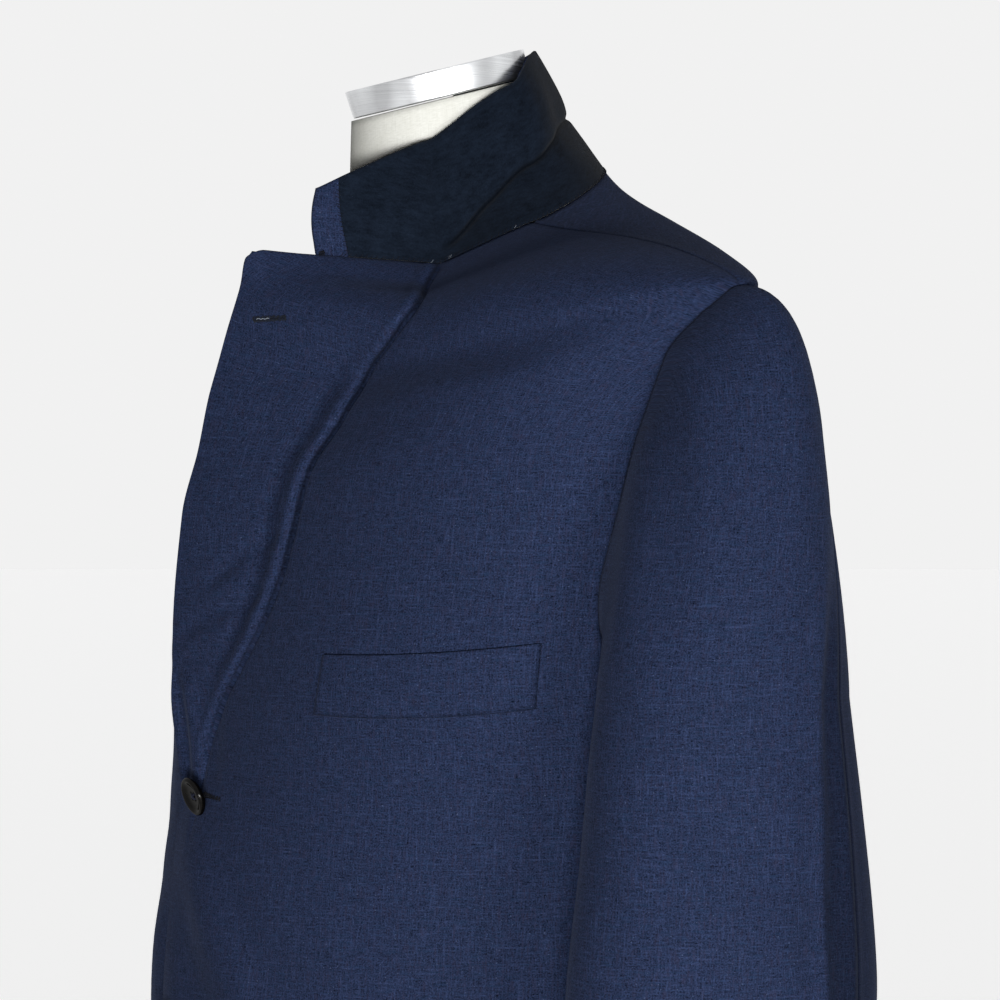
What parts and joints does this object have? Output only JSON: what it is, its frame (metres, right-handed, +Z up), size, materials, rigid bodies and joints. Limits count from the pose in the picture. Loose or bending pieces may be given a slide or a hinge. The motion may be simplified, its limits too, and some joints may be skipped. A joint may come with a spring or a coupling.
{
  "type": "blazer on dress form",
  "caption": "Tailored single-breasted blazer with its collar turned up, buttoned on a limbless dress form that stands on a round base.",
  "frame": {"origin": "middle of the underside of the stand's base, on the floor", "axes": "+Z up; the coat faces -Y; +X is the wearer's left"},
  "size_m": [0.6166, 0.33, 1.0088],
  "materials": {
    "cloth": "matte worsted wool, midnight blue",
    "felt": "matte wool undercollar felt",
    "horn": "polished dark horn",
    "linen": "matte off-white linen over a hard form",
    "steel": "brushed"
  },
  "bodies": {
    "root": {"front_left": "cloth", "side_left": "cloth", "back_left": "cloth", "sleeve_top_left": "cloth", "sleeve_under_left": "cloth", "front_right": "cloth", "side_right": "cloth", "back_right": "cloth", "sleeve_top_right": "cloth", "sleeve_under_right": "cloth", "undercollar": "felt", "top_collar": "cloth", "breast_welt": "cloth", "button_1": "horn", "button_2": "horn", "button_3": "horn", "form_torso": "linen", "form_neck_band": "steel", "form_neck_cap": "linen", "stand_base": "steel", "stand_flange": "steel", "stand_pole": "steel"}
  },
  "joints": []
}
